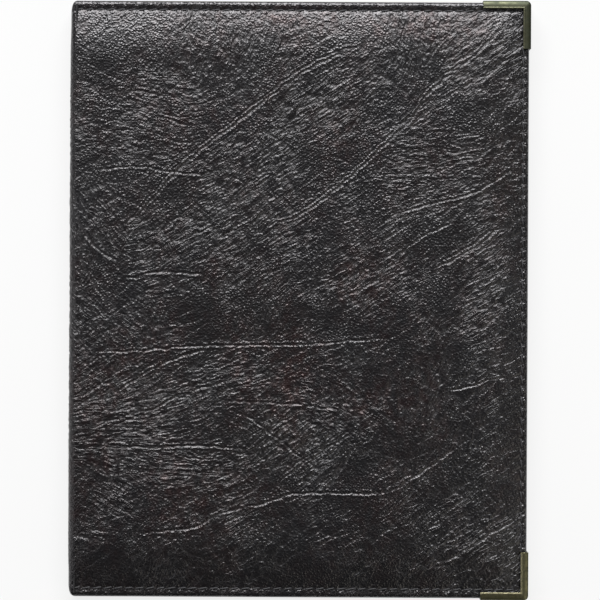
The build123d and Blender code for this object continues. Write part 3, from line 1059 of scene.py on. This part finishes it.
# The strand's ends and handles: a share of its length along, what lifts it, and by how much.
STRAND_POINTS = {
    "Start": (-0.5, "Sink", -1.0),
    "End": (0.5, "Sink", -1.0),
    "Start Handle": (-0.42, "Thread radius", 0.9),
    "End Handle": (0.42, "Thread radius", 0.9),
}


def tree_inputs(tree, values):
    """Named inputs of a tree, with the identifier of each."""
    tree.interface.new_socket("Geometry", in_out="INPUT", socket_type="NodeSocketGeometry")
    identifiers = {}
    for label, value in values.items():
        kind = "NodeSocketInt" if isinstance(value, int) else "NodeSocketFloat"
        socket = tree.interface.new_socket(label, in_out="INPUT", socket_type=kind)
        socket.default_value = value
        identifiers[label] = socket.identifier
    tree.interface.new_socket("Geometry", in_out="OUTPUT", socket_type="NodeSocketGeometry")
    return identifiers


# %% One strand, and the turn it takes at each step
def strand_mesh(tree, value):
    """A round strand along a curve that dives at both ends."""
    given = {"Resolution": value["Bends"]}
    for key, (share, lifter, lift) in STRAND_POINTS.items():
        along = math_node(tree, "MULTIPLY", value["Length"], share)
        up = math_node(tree, "MULTIPLY", value[lifter], lift)
        given[key] = add(tree, "ShaderNodeCombineXYZ", {"X": along, "Z": up}).outputs["Vector"]
    line = add(tree, "GeometryNodeCurvePrimitiveBezierSegment", given).outputs["Curve"]
    given = {"Resolution": value["Sides"], "Radius": value["Thread radius"]}
    ring = add(tree, "GeometryNodeCurvePrimitiveCircle", given).outputs["Curve"]
    given = {"Curve": line, "Profile Curve": ring, "Fill Caps": True}
    return add(tree, "GeometryNodeCurveToMesh", given).outputs["Mesh"]


def strand_turn(tree, value):
    """The turn of a strand: along the path, then slanted by a little more or less."""
    tangent = add(tree, "GeometryNodeInputTangent").outputs["Tangent"]
    given = {"Vector": tangent}
    aim = add(tree, "FunctionNodeAlignRotationToVector", given, axis="X", pivot_axis="Z")
    given = {2: -SLANT_SPREAD, 3: SLANT_SPREAD, "Seed": value["Seed"]}
    chance = add(tree, "FunctionNodeRandomValue", given, data_type="FLOAT")
    slant = math_node(tree, "ADD", value["Slant"], chance.outputs[1])
    slant = add(tree, "ShaderNodeCombineXYZ", {"Z": slant}).outputs["Vector"]
    slant = add(tree, "FunctionNodeEulerToRotation", {"Euler": slant}).outputs["Rotation"]
    given = {"Rotation": aim.outputs["Rotation"], "Rotate By": slant}
    turned = add(tree, "FunctionNodeRotateRotation", given, rotation_space="LOCAL")
    return turned.outputs["Rotation"]


# %% The stitch tree
def stitch_tree(material):
    """Geometry nodes that set one slanted strand at each step along a path."""
    tree = bpy.data.node_groups.new("sewn_stitches", "GeometryNodeTree")
    identifiers = tree_inputs(tree, STITCH_VALUES)
    value = add(tree, "NodeGroupInput").outputs
    curve = add(tree, "GeometryNodeMeshToCurve", {"Mesh": value["Geometry"]}).outputs["Curve"]
    given = {"Curve": curve, "Length": value["Pitch"]}
    steps = add(tree, "GeometryNodeResampleCurve", given, mode="LENGTH").outputs["Curve"]
    strand, turn = strand_mesh(tree, value), strand_turn(tree, value)
    given = {"Points": steps, "Instance": strand, "Rotation": turn}
    placed = add(tree, "GeometryNodeInstanceOnPoints", given).outputs["Instances"]
    real = add(tree, "GeometryNodeRealizeInstances", {"Geometry": placed}).outputs["Geometry"]
    given = {"Geometry": real, "Material": material}
    finish = add(tree, "GeometryNodeSetMaterial", given).outputs["Geometry"]
    add(tree, "NodeGroupOutput", {"Geometry": finish})
    return tree, identifiers


# %% The thread
THREAD_DARK = (0.020, 0.020, 0.022)
THREAD_PALE = (0.062, 0.061, 0.066)
# Dark grey twisted thread: its noise's scale, detail, roughness, stretch and turn.
TWIST = (1500, 2.0, 0.5, (1, 1, 2.5), 0.6)
TWIST_DEPTH = 0.12 * MM
thread_stops = [(0.3, THREAD_DARK), (0.7, THREAD_PALE)]
thread = mottled_material("waxed_thread", TWIST, thread_stops, rough=0.6, bump=TWIST_DEPTH)
stitches_tree, stitch_inputs = stitch_tree(thread)
print("stitch inputs:", ", ".join(stitch_inputs))


# %% Sew along a path
def mirrored(mesh):
    """A copy of a mesh, mirrored to the other cover, with its faces still pointing outwards."""
    copy = mesh.copy()
    copy.transform(Matrix(((1, 0, 0, 0), (0, 1, 0, 0), (0, 0, -1, TOP_Z), (0, 0, 0, 1))))
    copy.flip_normals()
    return copy


def sew(name, body, path, values, flip=False):
    """Run the stitch tree along a path and keep the result as a plain mesh that rides on a body."""
    mesh = bpy.data.meshes.new(name + "_path")
    mesh.from_pydata(path, [(k, k + 1) for k in range(len(path) - 1)], [])
    path_object = add_object(name + "_path", mesh)
    modifier = path_object.modifiers.new("stitches", "NODES")
    modifier.node_group = stitches_tree
    for label, value in values.items():
        modifier[stitch_inputs[label]] = value
    evaluated = path_object.evaluated_get(bpy.context.evaluated_depsgraph_get())
    plain = bpy.data.meshes.new_from_object(evaluated)
    if flip:
        plain = mirrored(plain)
    plain.name = name
    bpy.data.objects.remove(path_object)
    piece = add_object(name, plain)
    plain.shade_smooth()
    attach(piece, body)
    print(f"{name}: {len(plain.polygons)} faces")
    return piece


# %% The border stitches, outside and inside
SPINE_STITCH_GAP = 0.5 * MM
PATH_STEP = 1.0 * MM
THREAD_LIFT = 0.10 * MM
INNER_LIFT = 0.08 * MM


def border_points(start_x):
    """The stitch line in plan, from the spine at the tail round to the spine at the head."""
    x1, y1 = FORE_X - STITCH_FORE, HALF_H - STITCH_ENDS
    across, up = np.arange(start_x, x1, PATH_STEP), np.arange(-y1, y1, PATH_STEP)
    x = np.concatenate([across, np.full(len(up), x1), across[::-1]])
    y = np.concatenate([np.full(len(across), -y1), up, np.full(len(across), y1)])
    return x, y


def outer_path(side):
    """The stitch line laid on the wrinkled face of a cover."""
    x, y = border_points(COVER_X + SPINE_STITCH_GAP)
    depth, sewn, *_ = face_depth(x, y, side)
    return np.stack([x, y, TOP_Z - depth - sewn + THREAD_LIFT], axis=-1).tolist()


pocket_low, pocket_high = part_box("front_pocket")
for side, flip, seed in (("front", False, 3), ("back", True, 8)):
    path = outer_path(side)
    sew(f"{side}_border_stitches", f"{side}_cover", path, {"Seed": seed}, flip)
INSIDE_X, INSIDE_Y = border_points(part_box("front_lining")[0].x + 2 * MM)
INSIDE_Z = np.full(len(INSIDE_X), TOP_Z - pocket_low.z + INNER_LIFT)
inside_path = np.stack([INSIDE_X, INSIDE_Y, INSIDE_Z], axis=-1).tolist()
for side, flip, seed in (("back", False, 5), ("front", True, 6)):
    sew(f"{side}_inside_stitches", f"{side}_cover", inside_path, {"Seed": seed}, flip)


# %% The stitches of the two sleeves
SLEEVE_STITCH = {
    "Pitch": 3.4 * MM, "Length": 2.6 * MM, "Thread radius": 0.16 * MM, "Slant": 0.05,
    "Sink": 0.15 * MM, "Bends": 6, "Sides": 6,
}
SLEEVE_INSET = 2.0 * MM
SLEEVE_SINK = 0.1 * MM


def sleeve_path():
    """The stitch line of the lower sleeve's binding: down one side, along the foot, up again."""
    low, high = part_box("lower_sleeve_binding")
    x0, x1 = low.x + SLEEVE_INSET, high.x - SLEEVE_INSET
    y0, y1 = low.y + SLEEVE_INSET, high.y - SLEEVE_INSET
    z = high.z - SLEEVE_SINK
    down, across = np.arange(y1, y0, -PATH_STEP), np.arange(x0, x1, PATH_STEP)
    sides = [[(x, y, z) for y in down] for x in (x0, x1)]
    return sides[0] + [(x, y0, z) for x in across] + sides[1][::-1]


for side, flip in (("lower", False), ("upper", True)):
    name, body = f"{side}_sleeve_stitches", f"{side}_sleeve"
    sew(name, body, sleeve_path(), SLEEVE_STITCH, flip)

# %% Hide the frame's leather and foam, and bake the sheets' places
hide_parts("front_leather", "front_foam", "spine_leather")
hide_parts("back_leather", "back_foam")
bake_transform(front_leather)
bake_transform(back_leather)


# %% [markdown]
# ## Hinge cloths
# Inside the cover a strip of lining cloth runs from each lining down into the gutter and up the
# spine, so that the boards' ends don't show when it lies open. It is glued at both sides and free
# between them. A smooth curve through a few given points gives its section, and the strip is
# given its thickness and drawn out along the spine.

# %% Build the hinge cloths
CLOTH_T = 0.25 * MM
CLOTH_SHORT = 0.8 * MM
CLOTH_STEPS = 64
lining_low, lining_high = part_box("back_lining")
spine_lining_low, spine_lining_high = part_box("spine_lining")
# The way of the cloth's middle, in millimetres: from the lining's end and inside face, then from
# the spine lining's face.
ON_LINING = [(2.4, 0.14), (0.9, 0.15), (0.0, 0.10), (-0.38, -0.45), (-0.48, -1.7), (-0.55, -2.8)]
ON_SPINE = [(0.95, 1.25), (0.42, 1.75), (0.18, 3.0), (0.14, 4.2), (0.14, 5.4)]


def hinge_cloth(side):
    """One strip of cloth over the gutter between a cover's lining and the spine's."""
    way = [(lining_low.x / MM + dx, lining_high.z / MM + dz) for dx, dz in ON_LINING]
    way += [(spine_lining_high.x / MM + dx, z) for dx, z in ON_SPINE]
    line = smooth_line(way) * MM
    run = np.gradient(line, axis=0)
    normal = np.stack([run[:, 1], -run[:, 0]], axis=-1) / np.linalg.norm(run, axis=1)[:, None]
    loop = np.concatenate([line + normal * CLOTH_T / 2, (line - normal * CLOTH_T / 2)[::-1]])
    half = spine_lining_high.y - CLOTH_SHORT
    stations = np.linspace(-half, half, CLOTH_STEPS)
    points = np.array([(x, y, z) for y in stations for x, z in loop])
    if side == "front":
        points[:, 2] = TOP_Z - points[:, 2]
    count = len(loop)
    faces = [tuple(range(count)), tuple(range(len(points) - count, len(points)))]
    for first in range(0, len(points) - count, count):
        for p in range(count):
            a, b = first + p, first + (p + 1) % count
            faces.append((a, b, b + count, a + count))
    mesh = bpy.data.meshes.new(f"{side}_hinge_cloth")
    mesh.from_pydata(points.tolist(), [], faces)
    work = bmesh.new()
    work.from_mesh(mesh)
    bmesh.ops.recalc_face_normals(work, faces=work.faces)
    work.to_mesh(mesh)
    work.free()
    mesh.shade_smooth()
    mesh.set_sharp_from_angle(angle=math.radians(50))
    piece = add_object(f"{side}_hinge_cloth", mesh)
    width = np.linalg.norm(np.diff(line, axis=0), axis=1).sum()
    print(f"{piece.name}: {len(mesh.polygons)} faces, {width / MM:.1f} mm wide")
    return piece


back_cloth, front_cloth = hinge_cloth("back"), hinge_cloth("front")
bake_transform(back_cloth)
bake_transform(front_cloth)


# %% [markdown]
# ## Plain finishes for the hidden layers
# The boards, linings, tapes and films are already the right shape in the frame, so they only get
# their finishes: a fine even grain for the linings and tapes, flecks for the board, and a clear,
# slightly wavy film for the pockets and sleeves.

# %% Finishes for lining, tape, board and film
LINING_COLOUR = (0.022, 0.021, 0.023)
TAPE_COLOUR = (0.028, 0.026, 0.028)
DARKER = 0.7
BOARD_DARK, BOARD_PALE = (0.22, 0.20, 0.17), (0.36, 0.34, 0.30)
FILM_DARK, FILM_PALE = (0.28, 0.29, 0.31), (0.38, 0.39, 0.41)
# The noises: a scale, in swings to a metre, and a detail.
LINING_CLOUD, BOARD_FLECKS, FILM_HAZE = (60, 3.0), (500, 4.0), (25, 2.0)
LINING_GRAIN_SCALE = 1500
LINING_GRAIN_DEPTH = 0.05 * MM
FILM_WAVE = 0.25 * MM


def leatherette(name, colour):
    """Thin matt leatherette with a fine even grain."""
    stops = [(0.35, tuple(DARKER * c for c in colour)), (0.7, colour)]
    grain = {"bump": LINING_GRAIN_DEPTH, "grain_scale": LINING_GRAIN_SCALE}
    return mottled_material(name, LINING_CLOUD, stops, (0.55, 0.68), **grain)


lining = leatherette("lining_leatherette", LINING_COLOUR)
tape = leatherette("binding_tape", TAPE_COLOUR)
board_stops = [(0.3, BOARD_DARK), (0.7, BOARD_PALE)]
board = mottled_material("grey_board", BOARD_FLECKS, board_stops, rough=0.9)
film_stops = [(0.3, FILM_DARK), (0.7, FILM_PALE)]
film = mottled_material("clear_film", FILM_HAZE, film_stops, (0.06, 0.16), FILM_WAVE, alpha=0.08)

# %% Give every node of the frame its finish
for piece in (back_cloth, front_cloth):
    piece.data.materials.append(lining)
finishes = {
    "lining": lining, "tape": tape, "board": board, "clear_film": film,
    "leather": leather, "brass": brass, "foam": board,
}
slots = {row["node"]: row["material_slot"] for row in frame["record"]["subparts"]}
for name, node in frame["nodes"].items():
    node.data.materials.clear()
    node.data.materials.append(finishes[slots[name]])
print("finishes on", len(frame["nodes"]), "nodes")

# %% [markdown]
# ## Floor, light and camera
# A product picture from straight above: a white table, a wide soft light beyond the head of the
# cover, so that it rakes over the grain, and two weak pale cards that the brass and the sides see.
# The floor looks white to the camera and to shiny things, but it lights the cover only as a pale
# table would, and it keeps the cover's shadow.

# %% The floor
FLOOR_SIZE = 4.0
FLOOR_COLOUR = (0.8, 0.8, 0.8, 1)
FLOOR_ROUGH = 0.8
FLOOR_GLOW = 0.8
half_floor = FLOOR_SIZE / 2
floor_mesh = bpy.data.meshes.new("floor")
square = ((-1, -1), (1, -1), (1, 1), (-1, 1))
floor_mesh.from_pydata([(x * half_floor, y * half_floor, 0) for x, y in square], [], [range(4)])
floor = add_object("floor", floor_mesh)
floor_material, tree, shader, place = new_material("white_table")
give(tree, shader, {"Base Color": FLOOR_COLOUR, "Roughness": FLOOR_ROUGH})
rays = add(tree, "ShaderNodeLightPath").outputs
seen = math_node(tree, "MAXIMUM", rays["Is Camera Ray"], rays["Is Glossy Ray"])
seen = math_node(tree, "MAXIMUM", seen, rays["Is Transmission Ray"])
glow = add(tree, "ShaderNodeEmission").outputs["Emission"]
given = {"Fac": math_node(tree, "MULTIPLY", seen, FLOOR_GLOW), 1: shader.outputs["BSDF"], 2: glow}
both = add(tree, "ShaderNodeMixShader", given)
output = next(node for node in tree.nodes if node.type == "OUTPUT_MATERIAL")
give(tree, output, {"Surface": both.outputs["Shader"]})
floor_mesh.materials.append(floor_material)
print("floor", FLOOR_SIZE, "m square")


# %% The lights
# A light: its place, its two sizes, its power in watts and its colour.
LIGHTS = {
    "window": ((-0.08, 1.77, 1.52), 2.4, 0.90, 88, (1, 1, 1)),
    "left_card": ((-1.0, -0.3, 0.7), 0.6, 0.8, 1.5, (1, 1, 1)),
    "right_card": ((0.95, -0.75, 0.9), 1.0, 0.8, 3.0, (1.0, 0.96, 0.86)),
}
ROOM = {"Color": (0.9, 0.93, 1.0, 1), "Strength": 0.04}


def soft_light(name, place, size_x, size_y, power, colour):
    """A rectangular soft light that faces the cover's middle."""
    data = bpy.data.lights.new(name, "AREA")
    data.shape = "RECTANGLE"
    data.size, data.size_y, data.energy, data.color = size_x, size_y, power, colour
    lamp = add_object(name, data)
    lamp.location = place
    lamp.rotation_euler = Vector(place).to_track_quat("Z", "Y").to_euler()
    print(f"{name}: {power} W from {place}")


for name, values in LIGHTS.items():
    soft_light(name, *values)
world = bpy.data.worlds.new("pale_room")
world.use_nodes = True
give(world.node_tree, world.node_tree.nodes["Background"], ROOM)
scene.world = world

# %% The camera
PIXELS = 600
PIXELS_ACROSS_LEATHER = 459.4
CENTRE_PIXEL = (298.6, 299.5)
CAMERA_HEIGHT = 1.9
CAMERA_ROLL = math.radians(0.30)
metres_per_pixel = (FORE_X - SPINE_X) / PIXELS_ACROSS_LEATHER
camera_data = bpy.data.cameras.new("camera")
camera_data.sensor_width = 36
camera_data.lens = camera_data.sensor_width * (CAMERA_HEIGHT - TOP_Z) / (PIXELS * metres_per_pixel)
camera = add_object("camera", camera_data)
shift_x = (PIXELS / 2 - CENTRE_PIXEL[0]) * metres_per_pixel
shift_y = (CENTRE_PIXEL[1] - PIXELS / 2) * metres_per_pixel
camera.location = ((FORE_X + SPINE_X) / 2 + shift_x, shift_y, CAMERA_HEIGHT)
camera.rotation_euler = (0, 0, CAMERA_ROLL)
scene.camera = camera
scene.view_settings.view_transform = "Standard"
print(f"lens {camera_data.lens:.1f} mm")
